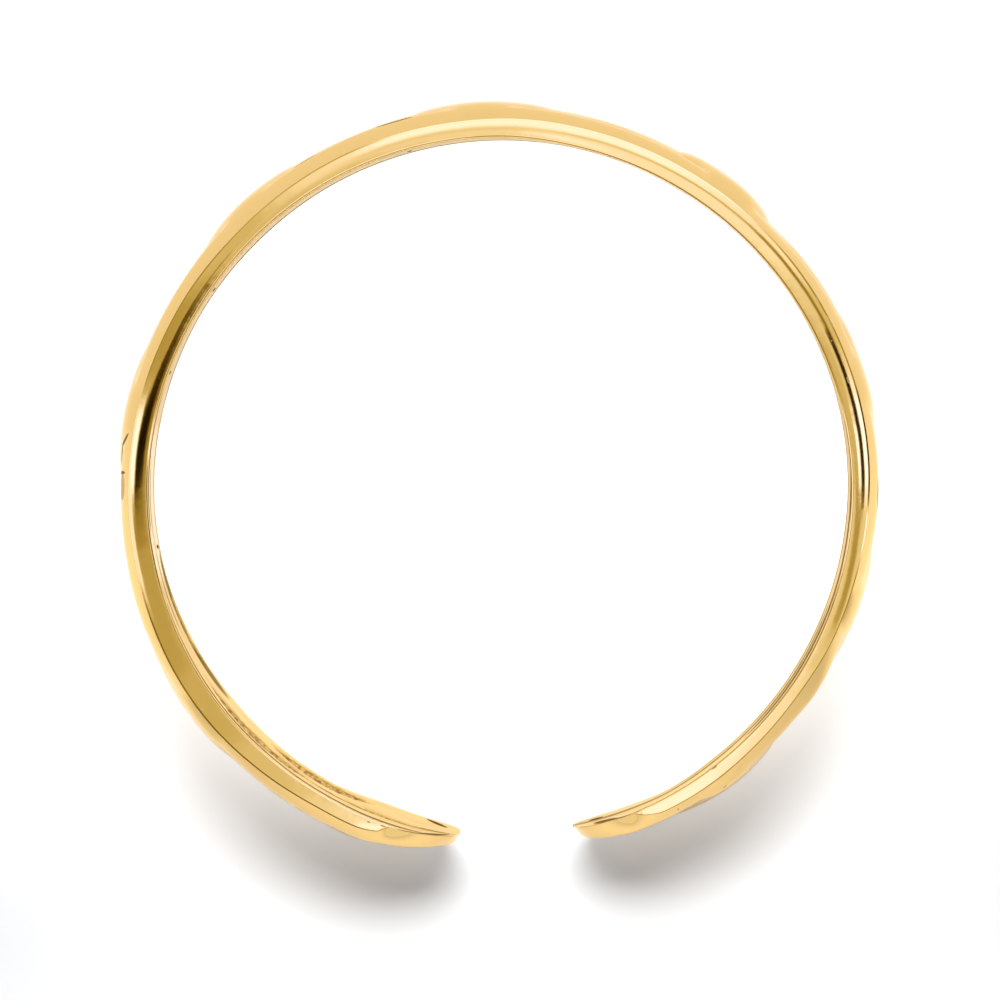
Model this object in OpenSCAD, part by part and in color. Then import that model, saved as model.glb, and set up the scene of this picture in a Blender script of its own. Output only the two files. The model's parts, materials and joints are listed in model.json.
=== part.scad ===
// Open toe ring of cast gold, lying on its side, with its gap towards -Y.
// The toe goes through along Z. Angles run counter-clockwise from +X, seen from above.
// A place along the band is a share of its length: 0 at the right tip, 1 at the left tip.

/* [Ring] */
// Radius of the bore that the toe goes through
inner_r = 7.36; // [6.6:0.02:9.4]
// Width of the band along the bore
band_w = 4.5; // [3.4:0.1:6]
// Gap between the two tips, measured at the bore
gap_w = 2.4; // [0.6:0.1:5]

/* [Band section] */
// Full height of the side faces, from the bore to the crease
edge_t = 0.4; // [0.25:0.01:0.5]
// Full thickness of the rails
rail_t = 0.63; // [0.56:0.01:0.9]
// How far in from a side face its rail reaches full thickness
slope_w = 0.5; // [0.3:0.05:0.9]
// How far the ground between the rails lies below them
ground_drop = 0.08; // [0:0.01:0.12]
// Break along both edges of the bore
rim_break = 0.03; // [0.01:0.005:0.06]

/* [Ribbon] */
// Width of the raised ribbon, square across it
ribbon_w = 1.2; // [0.8:0.05:1.6]
// How far the ribbon sways to each side of the middle of the band
ribbon_sway = 1.05; // [0:0.05:1.2]
// How far a full lobe of the ribbon stands above the rails
lobe_h = 0.11; // [0.04:0.01:0.2]

/* [Tips] */
// Length over which each tip rounds off
tip_l = 1.5; // [0.8:0.05:2.5]
// Width that is left at the very end of a tip
tip_end_w = 0.5; // [0.3:0.05:1.2]
// How far the left arm's lower edge leans inwards at the tip
arm_lean = 0.11; // [0:0.01:0.3]

/* [Cast pockets] */
// Depth of the pockets in the left arm's inner wall
pocket_d = 0.14; // [0.06:0.01:0.2]

/* [Hidden] */
$fn = 180;

// Thickness of the rails along the band
// columns: share of the band's length, share of rail_t
RAILS = [
    [0.000, 0.08], [0.002, 0.25], [0.005, 0.41], [0.011, 0.53], [0.019, 0.61], [0.029, 0.68],
    [0.049, 0.70], [0.080, 0.77], [0.116, 0.81], [0.132, 0.88], [0.163, 0.76], [0.200, 0.84],
    [0.228, 0.91], [0.272, 0.92], [0.316, 0.98], [0.339, 0.95], [0.354, 0.91], [0.416, 1.00],
    [0.462, 1.02], [0.535, 1.05], [0.580, 1.04], [0.641, 0.99], [0.682, 0.98], [0.720, 0.95],
    [0.756, 0.92], [0.785, 0.96], [0.814, 1.00], [0.870, 0.93], [0.900, 0.92], [0.955, 0.86],
    [0.967, 0.73], [0.975, 0.65], [0.983, 0.56], [0.990, 0.46], [0.996, 0.38], [0.999, 0.23],
    [1.000, 0.08]
];

// Turning points of the ribbon
// columns: share of the band's length, side (1 upper, -1 lower), share of lobe_h
TURNS = [
    [0.022, -1, 0.6], [0.075, 1, 1.5], [0.128, -1, 0.6], [0.172, 1, 1.4], [0.226, -1, 0.6],
    [0.241, -1, 0.6], [0.273, 1, 1.1], [0.342, -1, 0.6], [0.378, 1, 2.0], [0.440, -1, 0.6],
    [0.500, 1, 1.1], [0.558, -1, 0.6], [0.616, 1, 1.2], [0.661, -1, 0.6], [0.721, 1, 1.0],
    [0.777, -1, 0.6], [0.870, 1, 1.1], [0.918, -1, 0.6], [0.949, 1, 0.6], [0.980, -1, 0.5]
];

// Height of the side faces along the band
// columns: share of the band's length, share of edge_t
EDGES = [
    [0.000, 0.00], [0.028, 0.00], [0.034, 0.34], [0.044, 0.64], [0.067, 0.64], [0.125, 0.54],
    [0.155, 0.68], [0.184, 0.73], [0.213, 0.81], [0.243, 0.91], [0.331, 0.98], [0.462, 1.00],
    [0.521, 0.92], [0.550, 0.94], [0.623, 0.89], [0.668, 0.95], [0.726, 0.97], [0.785, 1.02],
    [0.843, 1.09], [0.873, 1.04], [0.902, 0.88], [0.931, 0.71], [0.946, 0.69], [0.961, 0.31],
    [0.968, 0.00], [1.000, 0.00]
];

// Cast pockets in the inner wall
// columns: share of the band's length at the middle, length as a share of the bore's radius,
// height of the middle as a share of the band's width, width as a share of the band's width
POCKETS = [
    [0.825, 0.34, 0.22, 0.30],
    [0.888, 0.46, 0.66, 0.36],
    [0.926, 0.34, 0.34, 0.26],
    [0.959, 0.30, 0.66, 0.13]
];

// Angles at the gap
half_gap = asin(gap_w / 2 / inner_r);
arc = 360 - 2 * half_gap;
arc_l = inner_r * arc * PI / 180;

// The bore's true wall runs from past the right tip to where the left arm starts to lean
BORE_SPAN = [0.055, 0.785];
BORE_FADE = 0.008;
LEAN_START = 0.80;
bore_stock = 0.3;
bore_relief = 0.01;

// Height share of the line that the arm leans about
LEAN_PIVOT = 0.7;

// Least height of a side face above its break, and of a rail above its crease
edge_least = 0.015;
crest_least = 0.02;

function ang(u) = -90 + half_gap + arc * u;
function smooth(x) = let (c = min(max(x, 0), 1)) c * c * (3 - 2 * c);

// How far a tip's rounding draws the band's edge in
function corner_in(u) =
    let (x = 1 - min(arc_l * min(u, 1 - u) / tip_l, 1))
    (band_w - tip_end_w) / 2 * (1 - sqrt(1 - x * x));

// Inward lean of the left arm at its lower edge
function lean(u) = arm_lean * min(max((u - LEAN_START) / (1 - LEAN_START), 0), 1);
function lean_at(u, z) = lean(u) * (z / band_w - LEAN_PIVOT) / LEAN_PIVOT;

// The two turning points that a place lies between, and how far it has come from the first
function turn_before(u) = max([for (i = [0 : len(TURNS) - 2]) if (i == 0 || TURNS[i][0] <= u) i]);
function leg(u) =
    let (a = TURNS[turn_before(u)])
    let (b = TURNS[turn_before(u) + 1])
    [a, b, min(max((u - a[0]) / (b[0] - a[0]), 0), 1)];

// Ribbon's place: 1 at an upper lobe, -1 at a lower one, with an eased swing between them
function sway(u) = let (l = leg(u)) l[0][1] + (l[1][1] - l[0][1]) * (1 - cos(180 * l[2])) / 2;
function sway_rate(u) =
    let (l = leg(u))
    (l[1][1] - l[0][1]) / (l[1][0] - l[0][0]) * sin(180 * l[2]) * PI / 2;

// Height of the ribbon over the rails: the lower lobe's, then more towards the upper lobe
function lobe_at(u) =
    let (l = leg(u))
    let (rising = l[1][1] > l[0][1])
    let (low = l[rising ? 0 : 1][2])
    let (high = l[rising ? 1 : 0][2])
    lobe_h * (low + (high - low) * sqrt(max(sway(u), 0)));

// Half of the ribbon's width as a section across the band cuts it: more where the ribbon runs steeply
function ribbon_half(u) = ribbon_w / 2 * sqrt(1 + pow(ribbon_sway / arc_l * sway_rate(u), 2));

// The ribbon dies away at the tips
// columns: share of the band's length, share of the ribbon's height
RIBBON_ENDS = [[0.020, 0], [0.050, 1], [0.955, 1], [0.985, 0]];

// Heights above the bore
function rim_at(u) = rim_break * lookup(u, RAILS);
function edge_at(u) = max(edge_t * lookup(u, EDGES), rim_at(u) + edge_least);
function rail_at(u) = max(rail_t * lookup(u, RAILS), edge_at(u) + crest_least);
function ground_at(u) = rail_at(u) - ground_drop * lookup(u, RAILS);
function crest_at(u) =
    ground_at(u) + (lobe_at(u) + ground_drop) * lookup(u, RAILS) * lookup(u, RIBBON_ENDS);

// A rail slopes up from the crease, rounds over, then eases down to the ground
SLOPE_ROUND = 1.4;
function rail_h(u, d) =
    let (e = edge_at(u))
    d < slope_w
      ? e + (rail_at(u) - e) * (1 - pow(1 - d / slope_w, SLOPE_ROUND))
      : rail_at(u) - (rail_at(u) - ground_at(u)) * smooth((d - slope_w) / slope_w);

// Where the ribbon flows over a rail to the crease: 1 at the middle of a lobe on that side
LOBE_START = 0.42;
LOBE_RISE = 0.5;
function near(u, side) = smooth((side * sway(u) - LOBE_START) / LOBE_RISE);

// Reach of one half of the ribbon, from its middle towards the band's edge on that side
RIBBON_FLAT = 3;
function reach(u, side, room) = ribbon_half(u) + (room - ribbon_half(u)) * near(u, side);
function flank_h(u, x, side, room) =
    let (half = reach(u, side, room))
    let (foot = ground_at(u) + (edge_at(u) - ground_at(u)) * near(u, side))
    x >= half ? 0 : foot + (crest_at(u) - foot) * (1 - pow(x / half, RIBBON_FLAT));

function ribbon_mid(u) = band_w / 2 + ribbon_sway * sway(u);
function ribbon_h(u, z, low, high) =
    let (mid = ribbon_mid(u))
    z > mid ? flank_h(u, z - mid, 1, high - mid) : flank_h(u, mid - z, -1, mid - low);

function outer_h(u, z, low, high) =
    max(rail_h(u, min(z - low, high - z)), ribbon_h(u, z, low, high));

// Places of the outer points across the band. They follow the rails and the ribbon's middle and feet,
// and a least share of the width is kept between these lines.
RAIL_STEPS = [0, 0.1, 0.25, 0.45, 0.7, 1];
VALLEY_STEPS = 3;
HALF_STEPS = 5;
RAIL_MOST = 0.3;
LINE_LEAST = 0.015;
function steps(from, to, n) = [for (i = [1 : n]) from + (to - from) * i / n];
function across(u, low, high) =
    let (rail = min(slope_w, RAIL_MOST * (high - low)))
    let (least = LINE_LEAST * (high - low))
    let (mid = min(max(ribbon_mid(u), low + rail + 2 * least), high - rail - 2 * least))
    let (foot_low = max(mid - reach(u, -1, mid - low), low + rail + least))
    let (foot_high = min(mid + reach(u, 1, high - mid), high - rail - least))
    concat(
        [for (s = RAIL_STEPS) low + rail * s],
        steps(low + rail, foot_low, VALLEY_STEPS),
        steps(foot_low, mid, HALF_STEPS),
        steps(mid, foot_high, HALF_STEPS),
        steps(foot_high, high - rail, VALLEY_STEPS),
        [for (i = [len(RAIL_STEPS) - 2 : -1 : 0]) high - rail * RAIL_STEPS[i]]
    );

// Stock left inside the true bore for it to be cut from, and a hair of room past its ends
function stock(u) =
    let (inside = min(u - BORE_SPAN[0], BORE_SPAN[1] - u) / BORE_FADE - 1)
    (bore_stock + bore_relief) * smooth(inside) - bore_relief;

// One section of the band, as [height above the bore, height above the table]
function section(u) =
    let (low = corner_in(u))
    let (high = band_w - low)
    let (rim = rim_at(u))
    let (s = stock(u))
    concat(
        [[-s, low + rim], [rim - s, low]],
        [for (z = across(u, low, high)) [outer_h(u, z, low, high), z]],
        [[rim - s, high], [-s, high - rim]]
    );

function placed(u, p) =
    let (r = inner_r + p[0] + lean_at(u, p[1]))
    [r * cos(ang(u)), r * sin(ang(u)), p[1]];

// Places of the sections along the band: close together at the tips, even between them
TIP_STEPS = 9;
BODY_STEPS = 132;
tip_share = tip_l / arc_l;
ALONG = concat(
    [for (i = [0 : TIP_STEPS - 1]) tip_share * (1 - cos(90 * i / TIP_STEPS))],
    [for (i = [0 : BODY_STEPS]) tip_share + (1 - 2 * tip_share) * i / BODY_STEPS],
    [for (i = [TIP_STEPS - 1 : -1 : 0]) 1 - tip_share * (1 - cos(90 * i / TIP_STEPS))]
);

module band_body() {
    rings = [for (u = ALONG) [for (p = section(u)) placed(u, p)]];
    n = len(rings);
    m = len(rings[0]);
    sides = [
        for (i = [0 : n - 2]) for (j = [0 : m - 1])
            let (k = (j + 1) % m)
            each [
                [i * m + j, i * m + k, (i + 1) * m + k],
                [i * m + j, (i + 1) * m + k, (i + 1) * m + j]
            ]
    ];
    start_cap = [for (j = [m - 1 : -1 : 0]) j];
    end_cap = [for (j = [0 : m - 1]) (n - 1) * m + j];
    polyhedron([for (ring = rings) each ring], concat(sides, [start_cap, end_cap]));
}

// True round bore with a break at both edges, over the arc that doesn't lean
module bore_cut() {
    past = 1;
    start = ang(BORE_SPAN[0]);
    rotate([0, 0, start])
        rotate_extrude(angle = ang(BORE_SPAN[1]) - start)
            polygon([
                [0, -past],
                [inner_r + rim_break + past, -past],
                [inner_r, rim_break],
                [inner_r, band_w - rim_break],
                [inner_r + rim_break + past, band_w + past],
                [0, band_w + past]
            ]);
}

// Lens-shaped outline, long along Y and wide along Z once stood up
module lens(l, w) {
    steps = 8;
    upper = [for (i = [0 : steps]) let (x = -1 + 2 * i / steps) [x * l / 2, w / 2 * (1 - x * x)]];
    lower = [for (i = [steps - 1 : -1 : 1]) let (x = -1 + 2 * i / steps) [x * l / 2, -w / 2 * (1 - x * x)]];
    polygon(concat(upper, lower));
}

module pocket(row) {
    z = band_w * row[2];
    floor_r = inner_r + lean_at(row[0], z) + pocket_d;
    reach = 1;
    rotate([0, 0, ang(row[0])])
        intersection() {
            translate([inner_r - reach, 0, z])
                rotate([90, 0, 90])
                    linear_extrude(2 * reach)
                        lens(inner_r * row[1], band_w * row[3]);
            cylinder(h = band_w, r = floor_r);
        }
}

module toe_ring() {
    color([0.94, 0.8, 0.52])
        difference() {
            band_body();
            bore_cut();
            for (row = POCKETS) pocket(row);
        }
}

toe_ring();
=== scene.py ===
# %% [markdown]
# # An open toe ring of polished gold
#
# The ring is one casting: a round band with a gap, so that it springs over a toe. It has flat
# polished sides, soft rails along its edges and a raised ribbon that winds between them. The CAD
# model holds its real size. This lesson gives it a fine smooth surface, a gold finish with the
# rough places a casting keeps on the inside, a studio and a camera.
#
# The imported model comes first, because every size is taken from it or set beside it.

# %% Load the ring's frame
import bisect
import json
import math

import bmesh
import bpy
from mathutils import Matrix, Vector


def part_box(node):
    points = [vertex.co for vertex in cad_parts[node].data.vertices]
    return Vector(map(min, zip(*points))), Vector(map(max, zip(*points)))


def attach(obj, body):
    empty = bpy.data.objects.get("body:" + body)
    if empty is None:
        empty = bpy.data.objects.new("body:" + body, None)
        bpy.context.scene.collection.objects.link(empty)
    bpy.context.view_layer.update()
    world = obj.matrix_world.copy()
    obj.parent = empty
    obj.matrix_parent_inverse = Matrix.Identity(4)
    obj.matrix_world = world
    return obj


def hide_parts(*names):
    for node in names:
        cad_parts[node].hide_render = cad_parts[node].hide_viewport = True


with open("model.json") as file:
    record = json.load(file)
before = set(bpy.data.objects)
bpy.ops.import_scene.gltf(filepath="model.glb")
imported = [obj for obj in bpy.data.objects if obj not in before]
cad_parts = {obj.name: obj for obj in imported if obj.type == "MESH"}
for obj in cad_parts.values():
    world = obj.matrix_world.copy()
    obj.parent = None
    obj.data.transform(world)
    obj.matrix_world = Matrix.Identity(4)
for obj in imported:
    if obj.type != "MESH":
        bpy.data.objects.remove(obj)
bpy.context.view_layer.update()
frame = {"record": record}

# %% [markdown]
# ## The camera
#
# The picture looks almost straight along the bore, from about 28 cm away with a long lens. The ring
# lies on its side here, so that view is from above. A camera could be turned by hand until it looks
# right, but a few measures are easier to keep: where the camera stands beside the bore's axis and
# over the ring, which point of the near side face lies in the middle of the picture, and how wide
# the picture is there. The picture is also turned a little, because the gap is not quite at its
# bottom.

# %% Place the camera
# All in millimetres, and the turn in degrees
MM = 0.001
band_w = (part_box("toe_ring")[1].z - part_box("toe_ring")[0].z) / MM
camera_off_axis = (2.36, 3.19)
camera_above_ring = 277.8
picture_middle = (0.01, -0.225)
picture_width = 20.945
picture_turn = 2.8

camera_data = bpy.data.cameras.new("camera")
camera = bpy.data.objects.new("camera", camera_data)
bpy.context.scene.collection.objects.link(camera)
bpy.context.scene.camera = camera

eye = Vector((*camera_off_axis, band_w + camera_above_ring)) * MM
target = Vector((*picture_middle, band_w)) * MM
up_turn = math.radians(picture_turn)
picture_up = Vector((math.sin(up_turn), math.cos(up_turn), 0))
back = (eye - target).normalized()
right = picture_up.cross(back).normalized()
turn = Matrix((right, back.cross(right), back)).transposed()
camera.matrix_world = Matrix.Translation(eye) @ turn.to_4x4()
camera_data.sensor_width = 36
camera_data.lens = camera_data.sensor_width * (eye - target).length / (picture_width * MM)
camera_data.clip_start = 0.01
camera_data.clip_end = 10
print("camera lens in mm:", round(camera_data.lens, 1))

# %% [markdown]
# ## The shape of the band
#
# A caster starts from a wax model: a strip with rails and a ribbon, bent round and cut for the gap.
# Separate rails and ribbon could be laid on a plain band, but their joints would show as lines that
# a casting doesn't have. So the surface is made in the caster's way. Every point of the band has a
# place along it, u, which runs from 0 at the right tip to 1 at the left tip, and a place across it,
# z. The height of the metal over the bore follows from these two. The sizes are the CAD part's own,
# in millimetres.

# %% Sizes of the band
inner_r = next(m["dims"]["r_mm"] for m in frame["record"]["mounts"] if m["name"] == "toe_bore")
gap_w = 2.4
edge_t = 0.4
rail_t = 0.63
slope_w = 0.5
ground_drop = 0.08
ribbon_w = 1.2
ribbon_sway = 1.05
lobe_h = 0.11
tip_l = 1.5
tip_end_w = 0.5
pocket_d = 0.14

half_gap = math.asin(gap_w / 2 / inner_r)
arc = 2 * math.pi - 2 * half_gap
arc_l = inner_r * arc
print("length of the band at the bore, mm:", round(arc_l, 2))

# Thickness of the rails: share of the band's length, share of rail_t
RAILS = [
    (0.000, 0.04), (0.002, 0.25), (0.005, 0.41), (0.011, 0.53), (0.019, 0.61), (0.029, 0.68),
    (0.049, 0.70), (0.080, 0.77), (0.116, 0.81), (0.132, 0.88), (0.163, 0.76), (0.200, 0.84),
    (0.228, 0.91), (0.272, 0.92), (0.316, 0.98), (0.339, 0.95), (0.354, 0.91), (0.416, 1.00),
    (0.462, 1.02), (0.535, 1.05), (0.580, 1.04), (0.641, 0.99), (0.682, 0.98), (0.720, 0.95),
    (0.756, 0.92), (0.785, 0.96), (0.814, 1.00), (0.870, 0.93), (0.900, 0.92), (0.955, 0.86),
    (0.967, 0.73), (0.975, 0.65), (0.983, 0.56), (0.990, 0.46), (0.996, 0.38), (0.999, 0.23),
    (1.000, 0.04),
]

# Turning points of the ribbon: share of the band's length, side (1 upper, -1 lower), share of
# lobe_h
TURNS = [
    (0.022, -1, 0.6), (0.075, 1, 1.5), (0.128, -1, 0.6), (0.172, 1, 1.4), (0.226, -1, 0.6),
    (0.241, -1, 0.6), (0.273, 1, 1.1), (0.342, -1, 0.6), (0.378, 1, 2.0), (0.440, -1, 0.6),
    (0.500, 1, 1.1), (0.558, -1, 0.6), (0.616, 1, 1.2), (0.661, -1, 0.6), (0.721, 1, 1.0),
    (0.777, -1, 0.6), (0.870, 1, 1.1), (0.918, -1, 0.6), (0.949, 1, 0.6), (0.980, -1, 0.5),
]

# Height of the side faces: share of the band's length, share of edge_t
EDGES = [
    (0.000, 0.00), (0.028, 0.00), (0.034, 0.34), (0.044, 0.66), (0.067, 0.71), (0.125, 0.64),
    (0.155, 0.78), (0.184, 0.83), (0.213, 0.91), (0.243, 1.01), (0.331, 1.10), (0.375, 1.08),
    (0.462, 1.03), (0.521, 0.94), (0.550, 0.94), (0.623, 0.88), (0.668, 0.99), (0.726, 1.02),
    (0.785, 1.06), (0.843, 1.11), (0.873, 1.05), (0.902, 0.92), (0.931, 0.77), (0.950, 0.74),
    (0.961, 0.55), (0.969, 0.00), (1.000, 0.00),
]

# How far the bore's upper and lower edges stray from a true circle: share of the band's length,
# millimetres outwards at the upper edge and at the lower edge
BENDS = [
    (0.00, -0.040, -0.100), (0.03, -0.035, -0.055), (0.05, -0.030, -0.005), (0.08, -0.030, -0.030),
    (0.14, 0.000, -0.020), (0.20, 0.015, 0.010), (0.25, 0.020, 0.030), (0.29, 0.000, 0.035),
    (0.36, -0.022, 0.035), (0.40, -0.030, 0.030), (0.45, -0.020, 0.018), (0.49, 0.010, 0.010),
    (0.54, 0.000, -0.004), (0.58, -0.010, -0.010), (0.62, -0.025, -0.020), (0.67, -0.038, 0.000),
    (0.71, -0.020, 0.005), (0.75, -0.005, 0.010), (0.79, -0.005, 0.000), (0.81, 0.005, -0.015),
    (0.84, 0.020, -0.060), (0.87, 0.030, -0.100), (0.90, 0.020, -0.110), (0.93, 0.020, -0.115),
    (0.96, 0.045, -0.195), (0.98, 0.048, -0.170), (1.00, 0.050, -0.160),
]

# Cast pockets in the inner wall: share of the band's length at the middle, length as a share of the
# bore's radius, height of the middle and width as shares of the band's width
POCKETS = [
    (0.825, 0.34, 0.22, 0.30),
    (0.888, 0.46, 0.66, 0.36),
    (0.926, 0.36, 0.28, 0.42),
    (0.959, 0.30, 0.66, 0.13),
]

# %% Helpers for easing and reading a table
def smooth(x):
    """Eases from 0 to 1 while x goes from 0 to 1."""
    x = min(max(x, 0), 1)
    return x * x * (3 - 2 * x)


def curve(x, rows, column=1):
    """A smooth curve through a table's rows that rises and falls only where they do."""
    at = [row[0] for row in rows]
    to = [row[column] for row in rows]
    i = min(max(bisect.bisect_right(at, x) - 1, 0), len(rows) - 2)
    slopes = [0, *[(b - a) / (q - p) for a, b, p, q in zip(to, to[1:], at, at[1:])], 0]
    start, end = [
        2 * a * b / (a + b) if a * b > 0 else 0 for a, b in zip(slopes[i:], slopes[i + 1 : i + 3])
    ]
    wide = at[i + 1] - at[i]
    t = min(max((x - at[i]) / wide, 0), 1)
    rise = t * (1 - t) * wide * (start * (1 - t) - end * t)
    return to[i] + (to[i + 1] - to[i]) * smooth(t) + rise


print("rail at the middle, mm:", round(rail_t * curve(0.5, RAILS), 3))
print("side face at the middle, mm:", round(edge_t * curve(0.5, EDGES), 3))


# %% Places along the band, and how the tips end
def angle_at(u):
    """Angle round the bore, from +X."""
    return -math.pi / 2 + half_gap + arc * u


def tip_x(u):
    """Distance from the nearer tip, along the bore."""
    return arc_l * min(u, 1 - u)


def corner_in(u):
    """How far a tip's rounding draws the band's edge in."""
    x = 1 - min(tip_x(u) / tip_l, 1)
    return (band_w - tip_end_w) / 2 * (1 - math.sqrt(1 - x * x))


print("width of a tip at its end, mm:", round(band_w - 2 * corner_in(0), 2))


# %% The ribbon's way between the rails
def swing(u):
    """The ribbon's place between its sides, -1 to 1, how fast it crosses over, and its height over
    the rails."""
    i = max([i for i in range(len(TURNS) - 1) if TURNS[i][0] <= u], default=0)
    (u0, side0, h0), (u1, side1, h1) = TURNS[i], TURNS[i + 1]
    x = min(max((u - u0) / (u1 - u0), 0), 1)
    place = side0 + (side1 - side0) * (1 - math.cos(math.pi * x)) / 2
    rate = (side1 - side0) / (u1 - u0) * math.sin(math.pi * x) * math.pi / 2
    low, high = (h0, h1) if side1 > side0 else (h1, h0)
    return place, rate, lobe_h * (low + (high - low) * math.sqrt(max(place, 0)))


print("the ribbon at the middle of the band:", [round(x, 3) for x in swing(0.5)])

# %% The band's heights at one place
# The ribbon spreads over a rail from LOBE_START of its full swing on, and has covered it after
# LOBE_RISE more
LOBE_START = 0.42
LOBE_RISE = 0.5
# Powers that round the outer slope of the rails and the sides of the ribbon
SLOPE_ROUND = 1.4
RIBBON_FLAT = 3
# Radius of the bore's rims and how far beside it the side face starts to lean, in millimetres
RIM_R = 0.045
RIM_HOLD = 0.008
# Least height of a side face, as a share of the rails' thickness there and millimetres on top, and
# least height of a rail above it, in millimetres
EDGE_SHARE = 0.03
EDGE_LEAST = 0.015
CREST_LEAST = 0.02
# How much of the ribbon is there: share of the band's length, share of its height
RIBBON_ENDS = [(0.020, 0), (0.050, 1), (0.955, 1), (0.985, 0)]


class Section:
    """The band's sizes at one place along it, and its heights across it."""

    def __init__(self, u):
        full = curve(u, RAILS)
        sway, rate, lobe = swing(u)
        self.u = u
        self.bends = curve(u, BENDS, 2), curve(u, BENDS, 1)
        self.low = corner_in(u)
        self.high = band_w - self.low
        self.rim = RIM_R * full
        self.edge = max(edge_t * curve(u, EDGES), EDGE_SHARE * full + EDGE_LEAST)
        self.rail = max(rail_t * full, self.edge + CREST_LEAST)
        self.ground = self.rail - ground_drop * full
        self.crest = self.ground + (lobe + ground_drop) * full * curve(u, RIBBON_ENDS)
        self.mid = band_w / 2 + ribbon_sway * sway
        half = ribbon_w / 2 * math.hypot(1, ribbon_sway / arc_l * rate)
        self.near = {s: smooth((s * sway - LOBE_START) / LOBE_RISE) for s in (1, -1)}
        room = {1: self.high - self.mid, -1: self.mid - self.low}
        self.reach = {s: half + (room[s] - half) * self.near[s] for s in (1, -1)}

    def rail_h(self, d):
        """Height of a rail at the distance d from the band's edge."""
        if d < slope_w:
            return self.edge + (self.rail - self.edge) * (1 - (1 - d / slope_w) ** SLOPE_ROUND)
        return self.rail - (self.rail - self.ground) * smooth((d - slope_w) / slope_w)

    def ribbon_h(self, z):
        """Height of the ribbon, or 0 beside it."""
        side = 1 if z > self.mid else -1
        x = abs(z - self.mid) / self.reach[side]
        if x >= 1:
            return 0
        foot = self.ground + (self.edge - self.ground) * self.near[side]
        return foot + (self.crest - foot) * (1 - x ** RIBBON_FLAT)

    def outer_h(self, z):
        return max(self.rail_h(max(min(z - self.low, self.high - z), 0)), self.ribbon_h(z))


middle_of_band = Section(0.5)
print("rail and crest, mm:", round(middle_of_band.rail, 3), round(middle_of_band.crest, 3))

# %% [markdown]
# ## Points round one section
#
# A polished metal surface shows every facet. Even points would have to be very close to hide them,
# so the points crowd only where the surface bends: at the rounded rims of the bore, along the
# crease where a side face meets its rail, and over the rails. The lines along the band follow the
# ribbon's middle and its feet, so that no line cuts through its edge.

# %% Steps round the section
RIM_STEPS = 4
FACE_STEPS = 10
RAIL_STEPS = 12
VALLEY_STEPS = 5
HALF_STEPS = 9
WALL_STEPS = 36
# Most width of a rail, and least distance from it to the ribbon's lines, as shares of the band's
# width there
RAIL_MOST = 0.3
LINE_LEAST = 0.015
# Drop of a side face at its crease, and width of a pocket's sloping side, in millimetres
face_drop = 0.035
pocket_side_w = 0.12


def steps(start, end, n):
    """n even steps after start, up to end."""
    return [start + (end - start) * i / n for i in range(1, n + 1)]


def across(s):
    """Places of the outer points between the two creases."""
    width = s.high - s.low
    rail = min(slope_w, RAIL_MOST * width)
    least = LINE_LEAST * width
    mid = min(max(s.mid, s.low + rail + 2 * least), s.high - rail - 2 * least)
    foot_low = max(mid - s.reach[-1], s.low + rail + least)
    foot_high = min(mid + s.reach[1], s.high - rail - least)
    rise = [rail * (1 - math.cos(math.pi / 2 * i / RAIL_STEPS)) for i in range(RAIL_STEPS + 1)]
    return [
        *[s.low + d for d in rise],
        *steps(s.low + rail, foot_low, VALLEY_STEPS),
        *steps(foot_low, mid, HALF_STEPS),
        *steps(mid, foot_high, HALF_STEPS),
        *steps(foot_high, s.high - rail, VALLEY_STEPS),
        *[s.high - d for d in reversed(rise[:-1])],
    ]


def pocket_at(u, z):
    """How deep inside a cast pocket a point of the inner wall lies: 0 outside, 1 on its floor."""
    deep = 0
    for middle, length, height, width in POCKETS:
        x = (u - middle) * arc_l / (inner_r * length / 2)
        if abs(x) < 1:
            half = band_w * width / 2 * (1 - x * x)
            deep = max(deep, smooth((half - abs(z - band_w * height)) / pocket_side_w))
    return deep


def face_z(s, t):
    """Drop of a side face below its highest line, at the height t over the bore."""
    x = min(max((t - s.rim) / (s.edge - s.rim), 0), 1)
    return face_drop * x * x * s.edge / edge_t


def section_points(s):
    """Points round the section: height over the bore, height over the table, depth in a pocket as a
    share, and 1 on the inner wall."""
    rim_turn = [math.pi / 2 * i / RIM_STEPS for i in range(RIM_STEPS + 1)]
    rim = [(s.rim * (1 - math.cos(a)), s.rim * (1 - math.sin(a))) for a in rim_turn]
    hold = s.rim + RIM_HOLD
    face = [(t, face_z(s, t)) for t in [hold, *steps(hold, s.edge, FACE_STEPS)[:-1]]]
    drop = face_z(s, s.edge)
    outer = []
    for z in across(s):
        d = min(z - s.low, s.high - z)
        settle = drop * max(1 - d / slope_w, 0)
        outer.append((s.outer_h(z), z + settle if z < band_w / 2 else z - settle, 0, 0))
    lower = [(t, s.low + d, 0, 0) for t, d in rim + face]
    upper = [(t, s.high - d, 0, 0) for t, d in reversed(rim + face)]
    wall = []
    for z in steps(s.high - s.rim, s.low + s.rim, WALL_STEPS)[:-1]:
        deep = pocket_at(s.u, z)
        wall.append((pocket_d * deep, z, deep, 1))
    return lower + outer + upper + wall


POINTS_ROUND = len(section_points(middle_of_band))
print("points round a section:", POINTS_ROUND)

# %% [markdown]
# ## Roll a sheet into the band
#
# A goldsmith bends a strip, and a strip is easy to make here too: bmesh.ops.create_grid gives a
# flat sheet with an even net. One way across the sheet is the way along the band, and the other is
# the way round its section. Moving each point to its place on the real band rolls the sheet up, and
# the two long edges meet inside the bore, where they are merged. Both ends are closed last.

# %% Roll up the sheet
ALONG_STEPS = 760
TIP_STEPS = 26
tip_share = tip_l / arc_l


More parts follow.
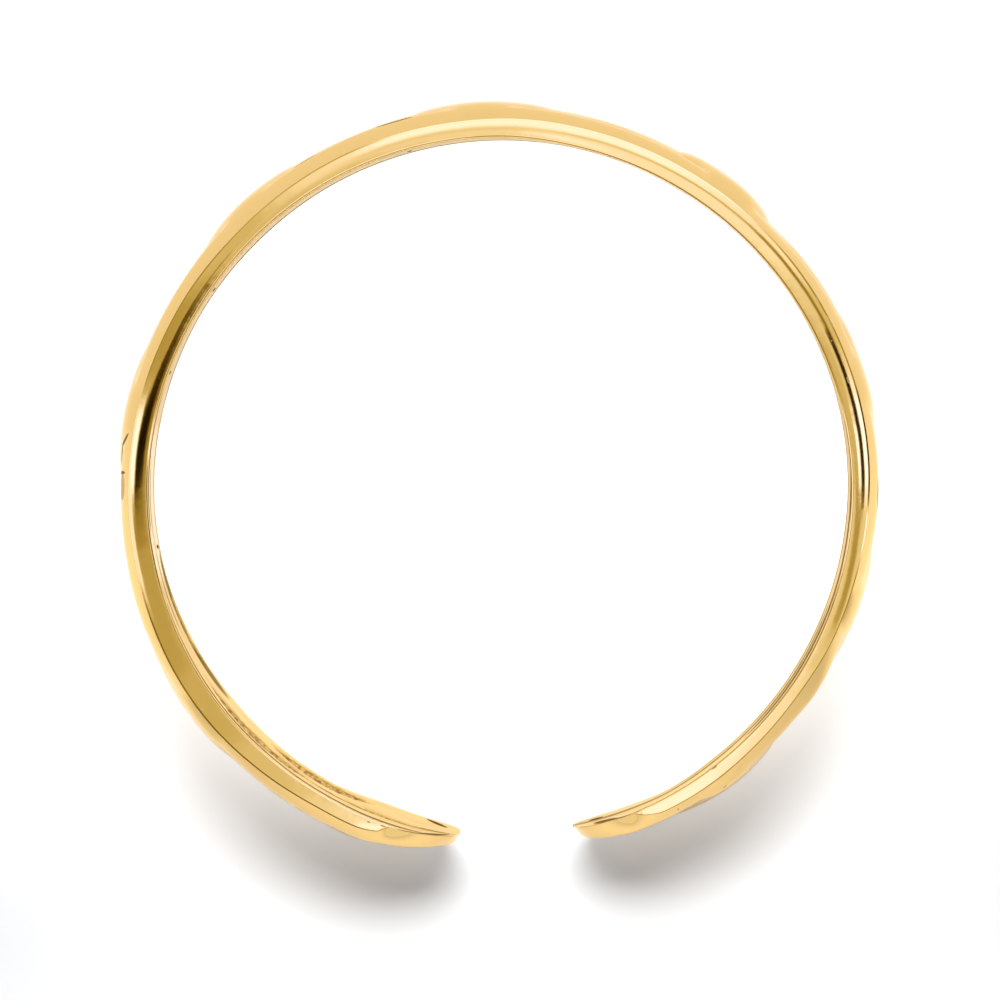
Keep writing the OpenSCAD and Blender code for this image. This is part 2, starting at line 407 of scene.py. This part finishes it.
def place_along(i):
    """Share of the band's length at section i: close together at the tips, even between them."""
    if i < TIP_STEPS:
        return tip_share * (1 - math.cos(math.pi / 2 * i / TIP_STEPS))
    if i > ALONG_STEPS - TIP_STEPS:
        return 1 - place_along(ALONG_STEPS - i)
    return tip_share + (1 - 2 * tip_share) * (i - TIP_STEPS) / (ALONG_STEPS - 2 * TIP_STEPS)


def placed(s, point):
    """A section's point at its place on the band, in metres."""
    t, z = point[:2]
    r = inner_r + t + s.bends[0] + (s.bends[1] - s.bends[0]) * z / band_w
    return Vector((r * math.cos(angle_at(s.u)), r * math.sin(angle_at(s.u)), z)) * MM


bm = bmesh.new()
bmesh.ops.create_grid(bm, x_segments=ALONG_STEPS, y_segments=POINTS_ROUND, size=1)
pocket_layer = bm.verts.layers.float.new("pocket")
wall_layer = bm.verts.layers.float.new("wall")
sections = [Section(place_along(i)) for i in range(ALONG_STEPS + 1)]
rounds = [section_points(s) for s in sections]
for v in bm.verts:
    i = round((v.co.x + 1) / 2 * ALONG_STEPS)
    j = round((v.co.y + 1) / 2 * POINTS_ROUND) % POINTS_ROUND
    v.co = placed(sections[i], rounds[i][j])
    v[pocket_layer], v[wall_layer] = rounds[i][j][2:]
bmesh.ops.remove_doubles(bm, verts=bm.verts[:], dist=1e-8)
bmesh.ops.holes_fill(bm, edges=[e for e in bm.edges if e.is_boundary], sides=0)
bmesh.ops.recalc_face_normals(bm, faces=bm.faces[:])

band_mesh = bpy.data.meshes.new("gold_band")
bm.to_mesh(band_mesh)
bm.free()
band_mesh.shade_smooth()
band = bpy.data.objects.new("gold_band", band_mesh)
bpy.context.scene.collection.objects.link(band)
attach(band, "root")
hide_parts("toe_ring")
triangles = sum(len(p.vertices) - 2 for p in band_mesh.polygons)
print("band:", len(band_mesh.vertices), "points,", triangles, "triangles")

# %% [markdown]
# ## A small helper for shader maths
#
# A finish is a sum of masks and patterns. Its nodes could be placed and linked one by one, but a
# long list of links is hard to follow. Written as Python expressions the same sums are easy to
# read, so one small class wraps a node's output and turns +, -, * and / into Math nodes.

# %% Shader maths as expressions
class Wire:
    """A node's output that can be used in an expression."""

    tree = None

    def __init__(self, socket):
        self.socket = socket

    def maths(self, operation, *others):
        return Wire.make("ShaderNodeMath", {"operation": operation}, [self, *others])

    def __add__(self, other):
        return self.maths("ADD", other)

    def __sub__(self, other):
        return self.maths("SUBTRACT", other)

    def __mul__(self, other):
        return self.maths("MULTIPLY", other)

    def __truediv__(self, other):
        return self.maths("DIVIDE", other)

    def __rsub__(self, other):
        return Wire.make("ShaderNodeMath", {"operation": "SUBTRACT"}, [other, self])

    __radd__ = __add__
    __rmul__ = __mul__

    @staticmethod
    def make(kind, settings=None, inputs=None, out=0):
        """Adds a node, sets it, fills its inputs by place or name, and wraps the wanted output."""
        node = Wire.tree.nodes.new(kind)
        for name, value in (settings or {}).items():
            setattr(node, name, value)
        pairs = inputs.items() if isinstance(inputs, dict) else enumerate(inputs or [])
        for key, value in pairs:
            if isinstance(value, Wire):
                Wire.tree.links.new(value.socket, node.inputs[key])
            elif value is not None:
                node.inputs[key].default_value = value
        return Wire(node.outputs[out])


def ease(x, low, high):
    """0 below low, 1 above high, and eased between them."""
    return Wire.make(
        "ShaderNodeMapRange",
        {"interpolation_type": "SMOOTHSTEP"},
        {"Value": x, "From Min": low, "From Max": high},
    )


def mix(mask, a, b):
    """Colour a where the mask is 0, colour b where it is 1."""
    return Wire.make("ShaderNodeMix", {"data_type": "RGBA"}, {"Factor": mask, 6: a, 7: b}, out=2)


def read(attribute):
    """A number that the mesh keeps at its points."""
    return Wire.make("ShaderNodeAttribute", {"attribute_name": attribute}, out="Fac")


def noise_on(vector, scale, detail=2.0, roughness=0.5):
    inputs = {"Vector": vector, "Scale": scale, "Detail": detail, "Roughness": roughness}
    return Wire.make("ShaderNodeTexNoise", {}, inputs, out="Fac")


def split(vector):
    parts = Wire.make("ShaderNodeSeparateXYZ", {}, [vector]).socket.node
    return [Wire(parts.outputs[n]) for n in range(3)]


def azimuth_of(x, y):
    """Degrees round the ring, from -90 to 270, so that the jump lies in the gap."""
    return (y.maths("ARCTAN2", x) * (180 / math.pi)).maths("WRAP", 270.0, -90.0)


LEAST_SOFT = 0.01


def between(value, start, end, soft):
    """1 from start to end, with soft ends."""
    begun = ease(value, start - soft, start + soft + LEAST_SOFT)
    return begun * (1 - ease(value, end - soft, end + soft + LEAST_SOFT))


print("shader helpers are ready")

# %% [markdown]
# ## Polished gold
#
# Yellow gold gets its colour from the way it reflects, so the finish is a bare metal with a warm
# base colour. The polish isn't perfect: fine waves from the buffing wheel bend the reflections a
# little, and there are a few pits. The inner wall was only smoothed with a file, so it is duller,
# with streaks along the band. Its pockets keep the dull, grainy skin of the casting. One metal with
# a changing roughness would leave the grime in them shiny, so there are three shaders, mixed by
# masks: polished metal, filed metal, and dull skin. The marks are set by their places round the
# ring, because noise alone would scatter them anywhere. Some marks and streaks are painted shade
# and painted reflections in the dark mark colour, not marks in the metal.

# %% Pits, seams, painted shade and painted reflections
# Azimuth of the middle and half length, in degrees; middle's millimetres outwards from the bore's
# radius, half thickness, and the middle's rise for each degree; height and half height as shares of
# the band's width; how dark
# The rows from 169.8 to 176.8 degrees are painted shade: dark grooves round a raised tongue by the
# silhouette, and the shade beyond its end, which the mesh doesn't have. The rows at 103.2 and 118.2
# degrees are painted reflections: dark slivers where the ribbon's sides show behind a rail.
MARKS_AND_PAINTED_SHADE = [
    (102.2, 0.45, 0.00, 0.10, 0, 0.50, 0.14, 0.9),
    (142.4, 0.40, 0.00, 0.10, 0, 0.55, 0.14, 0.9),
    (157.8, 0.35, 0.00, 0.10, 0, 0.75, 0.12, 0.9),
    (187.0, 0.35, 0.00, 0.15, 0, 0.34, 0.14, 1.0),
    (14.6, 0.50, 0.300, 0.02, 0, 1.00, 0.05, 0.8),
    (24.2, 1.00, 0.410, 0.015, 0, 1.00, 0.05, 0.6),
    (28.0, 0.40, 0.400, 0.015, 0, 1.00, 0.05, 0.6),
    (-55.0, 0.60, 0.010, 0.02, 0, 1.00, 0.05, 0.8),
    (-63.6, 0.20, 0.330, 0.020, 0, 0.95, 0.10, 0.3),
    (-55.6, 0.40, 0.480, 0.015, 0, 0.90, 0.20, 0.25),
    (0.5, 8.50, 0.018, 0.012, 0, 1.00, 0.05, 1.0),
    (-74.0, 3.90, -0.034, 0.012, 0.0068, 0.93, 0.30, 0.9),
    (255.4, 4.60, 0.034, 0.013, -0.0105, 0.93, 0.30, 0.9),
    (256.5, 2.10, -0.110, 0.013, 0.0155, 0.27, 0.30, 1.0),
    (-76.6, 1.30, -0.05, 0.10, 0, 0.40, 0.08, 1.0),
    (245.8, 0.35, 0.130, 0.020, 0, 0.98, 0.10, 0.7),
    (248.2, 0.50, 0.105, 0.016, 0, 0.98, 0.10, 0.8),
    (169.8, 1.20, 0.560, 0.024, 0.049, 0.93, 0.20, 0.8),
    (172.7, 2.10, 0.600, 0.022, -0.002, 0.90, 0.25, 0.8),
    (174.7, 0.25, 0.545, 0.055, 0, 0.92, 0.20, 0.7),
    (176.8, 2.20, 0.550, 0.060, 0, 0.92, 0.25, 0.3),
    (-4.6, 3.60, 0.600, 0.025, 0, 0.90, 0.25, 0.6),
    (103.2, 3.00, 0.655, 0.018, 0, 0.80, 0.35, 0.6),
    (118.2, 2.60, 0.650, 0.018, 0, 0.80, 0.35, 0.6),
]

# Dark streaks along the filed wall, whose ends taper: from azimuth, to azimuth, height and half
# height as shares of the band's width, how dark
# The rows at heights 0.06 and 0.10 are painted shade along the wall's lower rim, where it stands on
# the paper. The row from 192 to 211 degrees is painted shade that darkens a pocket.
STREAKS_AND_PAINTED_SHADE = [
    (-79, -25, 0.50, 0.11, 0.60),
    (-44, -4, 0.84, 0.16, 0.75),
    (-64, -8, 0.18, 0.07, 0.45),
    (-10, 168, 0.06, 0.13, 0.90),
    (76, 168, 0.98, 0.08, 0.60),
    (166, 198, 0.10, 0.12, 0.35),
    (164, 180, 0.94, 0.10, 0.80),
    (176, 198, 0.66, 0.05, 0.55),
    (192, 211, 0.25, 0.15, 0.72),
    (196, 262, 0.95, 0.045, 0.85),
    (238, 256, 0.70, 0.05, 0.55),
]
print("marks:", len(MARKS_AND_PAINTED_SHADE), "and streaks:", len(STREAKS_AND_PAINTED_SHADE))

# %% Colours of the gold
gold_colour = (0.77, 0.515, 0.192, 1)
skin_dark = (0.20, 0.11, 0.022, 1)
skin_light = (0.60, 0.39, 0.13, 1)
worn_wall = (0.72, 0.53, 0.24, 1)
# The dark colour of pits and seams, which also paints the shade and reflections among the marks and
# streaks
mark_and_shade_colour = (0.12, 0.065, 0.015, 1)
filed_dark = (0.6, 0.39, 0.11, 1)
filed_light = (0.82, 0.58, 0.24, 1)
print("gold colour:", gold_colour[:3])

# %% Places and patterns on the gold
# Scales of the patterns in waves for each metre, and of the file's marks for each degree round the
# ring and for each width of the band
buffing_scale = 700.0
ripple_scale = 2600.0
grain_scales = 14000.0, 9000.0
grain_stretch = 0.07
marks_along = 0.12
marks_across = 16.0
# Shares of the long and the short grain, and how ragged the grain makes a pocket's border
grain_shares = 0.6, 0.4
ragged = 0.6
pocket_border = 0.10, 0.26

gold = bpy.data.materials.new("polished_gold")
gold.use_nodes = True
Wire.tree = gold.node_tree
place = Wire.make("ShaderNodeTexCoord", out="Object")
x, y, z = split(place)
azimuth = azimuth_of(x, y)
height = z / (band_w * MM)
outwards = (x * x + y * y).maths("SQRT") / MM - inner_r
pocket = read("pocket")
wall = read("wall")

buffing = noise_on(place, buffing_scale)
ripples = noise_on(place, ripple_scale)
file_place = Wire.make(
    "ShaderNodeCombineXYZ", {}, [azimuth * marks_along, height * marks_across, 0.0]
)
file_marks = noise_on(file_place, 1.0, detail=4.0)
drawn_out = Wire.make(
    "ShaderNodeVectorMath", {"operation": "MULTIPLY"}, [place, (1.0, 1.0, grain_stretch)]
)
long_grain = noise_on(drawn_out, grain_scales[0], detail=3.0)
short_grain = noise_on(place, grain_scales[1], detail=3.0)
grain = long_grain * grain_shares[0] + short_grain * grain_shares[1]
rough_cast = ease(pocket + (grain - 0.5) * ragged, *pocket_border)
print("patterns:", len(gold.node_tree.nodes), "nodes")

# %% Masks of the gold's shaders
# The filed wall was polished a little where it is easy to reach, at the back and at the left. Dull
# skin covers most of a pocket and some of the filed wall. A streak tapers over some degrees at its
# ends, and the file's marks make it waver by a share of the band's width.
back_polish = 0.25
left_polish = 0.5
pocket_dull = 0.95
wall_dull = 0.40
streak_taper = 4
streak_waver = 0.04
mark_border = 0.6, 1.3
streak_border = 0.5, 1.5
back_wall = between(azimuth, 72, 168, 4)
left_wall = between(azimuth, 168, 192, 3)
bright_wall = back_wall * back_polish + left_wall * left_polish

# This mask gathers pits, seams and streaks, together with the painted shade and painted reflections
# among them.
marks_and_painted_shade = 0.0
for middle, half_length, out, half_out, rise, level, half_height, dark in MARKS_AND_PAINTED_SHADE:
    off_a = (azimuth - middle) / half_length
    off_t = (outwards - out - (azimuth - middle) * rise) / half_out
    off_h = (height - level) / half_height
    mark_and_shade = (1 - ease(off_a * off_a + off_t * off_t + off_h * off_h, *mark_border)) * dark
    marks_and_painted_shade = mark_and_shade.maths("MAXIMUM", marks_and_painted_shade)
for start, end, level, half_height, dark in STREAKS_AND_PAINTED_SHADE:
    off_a = (azimuth - (start + end) / 2) / ((end - start) / 2 + streak_taper)
    off_h = (height + file_marks * streak_waver - level - streak_waver / 2) / half_height
    off_a = off_a * off_a
    streak_and_shade = 1 - ease(off_a * off_a + off_h * off_h, *streak_border)
    marks_and_painted_shade = marks_and_painted_shade.maths("MAXIMUM", streak_and_shade * wall * dark * ease(file_marks, 0.1, 0.45))
filed_wall = wall * (1 - bright_wall)
# Dull skin takes over in the pockets and on part of the filed wall. It also lies wherever a mark or
# a stretch of painted shade or painted reflection lies.
dull_and_painted_shade = ease(marks_and_painted_shade, 0.0, 0.5)
dull_and_painted_shade = dull_and_painted_shade.maths("MAXIMUM", rough_cast * pocket_dull)
dull_and_painted_shade = dull_and_painted_shade.maths("MAXIMUM", filed_wall * wall_dull)
print("masks:", len(gold.node_tree.nodes), "nodes")

# %% Relief and colours
# The buffing's waves and ripples are shallow beside the grain, which is relief_depth millimetres
# deep
wave_share = 0.15
ripple_share = 0.03
relief_depth = 0.05
relief = (buffing * wave_share + ripples * ripple_share) * (1 - rough_cast) + grain * rough_cast
bump_inputs = {"Strength": 0.5, "Distance": relief_depth * MM, "Height": relief}
bump = Wire.make("ShaderNodeBump", {}, bump_inputs, out="Normal")
filed_colour = mix(ease(file_marks, 0.25, 0.65), filed_dark, filed_light)
cast_colour = mix(ease(grain, 0.38, 0.62), skin_dark, skin_light)
# Under the marks the skin turns to the dark mark colour, so the painted shade and painted
# reflections come out here too.
skin_and_shade_colour = mix(marks_and_painted_shade, mix(rough_cast, worn_wall, cast_colour), mark_and_shade_colour)
print("relief and colours:", len(gold.node_tree.nodes), "nodes")


# %% Three shaders in one finish
def surface(inputs):
    """A Principled shader with the finish's relief."""
    return Wire.make("ShaderNodeBsdfPrincipled", {}, {"Normal": bump, **inputs})


def blend(mask, a, b):
    """Shader a where the mask is 0, shader b where it is 1."""
    return Wire.make("ShaderNodeMixShader", {}, [mask, a, b])


polished_tint = (0.97, 0.9, 0.75, 1)
filed_tint = (0.92, 0.8, 0.55, 1)
polished_metal = surface(
    {"Base Color": gold_colour, "Metallic": 1.0, "Roughness": 0.06, "Specular Tint": polished_tint}
)
filed_metal = surface(
    {"Base Color": filed_colour, "Metallic": 1.0, "Roughness": 0.36, "Specular Tint": filed_tint}
)
# This shader carries the pockets' cast skin as well as the painted shade and painted reflections.
skin_and_painted_shade = surface({"Base Color": skin_and_shade_colour, "Roughness": 0.8, "Specular IOR Level": 0.0})
whole = blend(dull_and_painted_shade, blend(filed_wall, polished_metal, filed_metal), skin_and_painted_shade)
output = gold.node_tree.nodes["Material Output"]
gold.node_tree.links.new(whole.socket, output.inputs["Surface"])
gold.node_tree.nodes.remove(gold.node_tree.nodes["Principled BSDF"])
band_mesh.materials.append(gold)
print("gold finish:", len(gold.node_tree.nodes), "nodes")

# %% [markdown]
# ## A white floor
#
# The ring lies on white paper. A large floor would need a large even light, so the paper is only
# three times as wide as the picture, and the white world goes on behind it. Paper scatters light
# evenly, so its shader has no gloss at all, and the lights are strong enough to burn it out to
# plain white, as a shop's pictures do.

# %% Paper under the ring
floor_half = 32
floor_mesh = bpy.data.meshes.new("floor")
bm = bmesh.new()
bmesh.ops.create_grid(bm, x_segments=1, y_segments=1, size=floor_half * MM)
bm.to_mesh(floor_mesh)
bm.free()
floor = bpy.data.objects.new("floor", floor_mesh)
bpy.context.scene.collection.objects.link(floor)

paper = bpy.data.materials.new("white_paper")
paper.use_nodes = True
paper_shader = paper.node_tree.nodes["Principled BSDF"]
paper_shader.inputs["Base Color"].default_value = (0.9, 0.9, 0.9, 1)
paper_shader.inputs["Roughness"].default_value = 1.0
paper_shader.inputs["Specular IOR Level"].default_value = 0.0
floor_mesh.materials.append(paper)
print("floor, mm:", 2 * floor_half, "square")

# %% [markdown]
# ## The studio
#
# Shiny metal shows its surroundings more than itself. The side face that looks up at the camera
# leans outwards by a few degrees, so each place on it mirrors a small piece of ceiling just beyond
# the camera, on its own side of the ring. The ceiling is a white tent with soft panels and dark
# gaps. Boards of white and black card could be modelled, but drawn in the world they are as far off
# as they need to be and cast no shadows. Each is given by where it lies round the ring and how far
# it is from straight up. A dark rim further down draws the thin lines along the creases.

# %% Panels and gaps of the tent
# From azimuth, to azimuth, softness there, from tilt, to tilt, softness there, rise of the tilts
# for each degree of azimuth, brightness (later rows lie on top)
PANELS = [
    (-90, 270, 0, 26, 70, 5, 0, 0.45),
    (-90, -60, 6, 26, 70, 5, 0, 0.65),
    (-16, -6, 3, 18, 70, 3, 0, 2.00),
    (-8, 12, 2, 21.3, 70, 1, 0, 0.02),
    (42, 114, 8, 26, 70, 5, 0, 1.85),
    (108, 134, 6, 26, 70, 5, 0, 0.72),
    (163, 193, 4, 26, 70, 5, 0, 1.60),
    (195, 250, 5, 26, 70, 5, 0, 0.20),
    (-90, -44, 6, -9, 25, 3, 0, 1.80),
    (-56, -36, 7, -9, 25, 3, 0, 1.42),
    (-39, 28, 5, -9, 25, 3, 0, 1.08),
    (-29, -5, 5, 6, 15.6, 2, -0.4, 0.50),
    (-6, 20, 4, -9, 9, 2, 0, 0.82),
    (12, 45, 6, 16, 25, 2, 0, 1.40),
    (33, 84, 6, -9, 25, 3, 0, 1.45),
    (52, 116, 10, 14, 25, 3, 0, 1.80),
    (17, 31, 4, 16, 25, 2, 0, 0.90),
    (20, 78, 6, 12.4, 14.8, 1, -0.06, 0.80),
    (18, 42, 5, 13.4, 16.6, 1, -0.06, 0.32),
    (60, 84, 8, 11, 12.8, 1, -0.06, 1.15),
    (82, 152, 4, -9, 9, 2.5, 0, 1.06),
    (82, 114, 5, -9, 9, 2.5, 0, 1.25),
    (74, 85, 2, 2.5, 7.5, 1, 0, 1.75),
    (116, 142, 8, 9, 25, 3, 0, 1.33),
    (128, 166, 6, 9, 25, 3, 0, 0.86),
    (128, 150, 6, -9, 9, 3, 0, 0.92),
    (177, 193, 5, -9, 25, 3, 0, 0.40),
    (190, 212, 5, -9, 25, 3, 0, 0.62),
    (210, 226, 5, -9, 25, 3, 0, 0.75),
    (224, 238, 4, -9, 25, 3, 0, 0.95),
    (236, 262, 4, -9, 25, 3, 0, 1.28),
    (244, 262, 2, 2, 25, 3, 0, 1.80),
    (146, 163, 5, 12, 25, 2, 0, 0.55),
    (166, 180, 3, -9, 8, 3, 0, 0.36),
    (140, 154, 4, 8.8, 11.2, 0.8, 0, 0.42),
    (149, 160, 3, 5.2, 11.4, 1.2, 0, 0.08),
    (157, 171, 2.5, 0, 13.6, 1.2, 0.3, 0.05),
    (165, 182.5, 1.5, 5.8, 16.2, 1.2, 0, 0.003),
    (166, 181, 2, 16.8, 25, 1, 0, 2.00),
    (178, 195, 4, 19.5, 25, 1, 0, 1.60),
    (-7, 5, 1.5, 8.4, 11.8, 0.6, 0, 2.10),
    (-7, 12, 3, 16.4, 20.8, 0.7, 0, 2.10),
    (-9, 22, 1.5, 11.9, 16.2, 0.6, -0.03, 0.005),
    (-6, 6, 3, -9, 2.6, 0.6, 0, 0.03),
]

tent_brightness = 1.13
world = bpy.data.worlds.new("light_tent")
bpy.context.scene.world = world
world.use_nodes = True
Wire.tree = world.node_tree
x, y, z = split(Wire.make("ShaderNodeTexCoord", out="Generated"))
tilt = z.maths("ARCCOSINE") * (180 / math.pi)
azimuth = azimuth_of(x, y)

light = Wire.make("ShaderNodeValue")
light.socket.default_value = tent_brightness
for az_from, az_to, az_soft, tilt_from, tilt_to, tilt_soft, rise, brightness in PANELS:
    level = tilt - (azimuth - (az_from + az_to) / 2) * rise
    mask = between(azimuth, az_from, az_to, az_soft) * between(level, tilt_from, tilt_to, tilt_soft)
    light = light + mask * (brightness - light)
print("tent:", len(PANELS), "panels and gaps")

# %% Colour of the tent's light
# Darker panels look warmer in gold, and brighter ones whiter, so red rises more slowly with a
# panel's brightness than green does, and blue faster. Only mirrored rays see the panels: the paper
# gets an even glow, and the camera sees plain white.
glow = (0.182, 0.195, 0.22, 1)
red_power = 0.83
blue_power = 2.15
blue_share = 0.86
red = light.maths("POWER", red_power)
blue = light.maths("POWER", blue_power) * blue_share
warm = Wire.make("ShaderNodeCombineColor", {}, [red, light, blue])
plain = mix(Wire.make("ShaderNodeLightPath", out="Is Camera Ray"), glow, (1, 1, 1, 1))
plain_sky = Wire.make("ShaderNodeBackground", {}, [plain])
tent_sky = Wire.make("ShaderNodeBackground", {}, [warm])
sky = blend(Wire.make("ShaderNodeLightPath", out="Is Glossy Ray"), plain_sky, tent_sky)
world.node_tree.links.new(sky.socket, world.node_tree.nodes["World Output"].inputs["Surface"])
world.node_tree.nodes.remove(world.node_tree.nodes["Background"])
print("sky:", len(world.node_tree.nodes), "nodes")

# %% [markdown]
# ## Lamps
#
# One even light would burn out the paper without any shadow, and the ring would seem to float. So
# two lamps light the paper and stay out of the reflections. The fill hangs at the camera's place,
# so the ring itself hides its shadow. Its round of light ends towards the front of the paper, and
# there the key takes over. That lamp hangs low over the middle of the ring, so the front arcs throw
# soft shadows forwards, on both sides of the gap.

# %% Key and fill
def lamp(name, watts, radius, at, aim, cone, blend):
    """A round lamp: places and radius in millimetres, the cone in degrees."""
    data = bpy.data.lights.new(name, "SPOT")
    data.energy = watts
    data.shadow_soft_size = radius * MM
    data.spot_size = math.radians(cone)
    data.spot_blend = blend
    made = bpy.data.objects.new(name, data)
    made.location = Vector(at) * MM
    made.rotation_euler = (Vector(at) - Vector(aim)).to_track_quat("Z", "Y").to_euler()
    made.visible_camera = False
    made.visible_glossy = False
    bpy.context.scene.collection.objects.link(made)


lamp("fill", 3.85, 3, at=(*camera_off_axis, 300), aim=(0, 70.3, 0), cone=30, blend=0.135)
lamp("key", 0.152, 11, at=(0, 6.5, 45), aim=(0, -87, 0), cone=100, blend=0.077)

bpy.context.scene.view_settings.view_transform = "Standard"
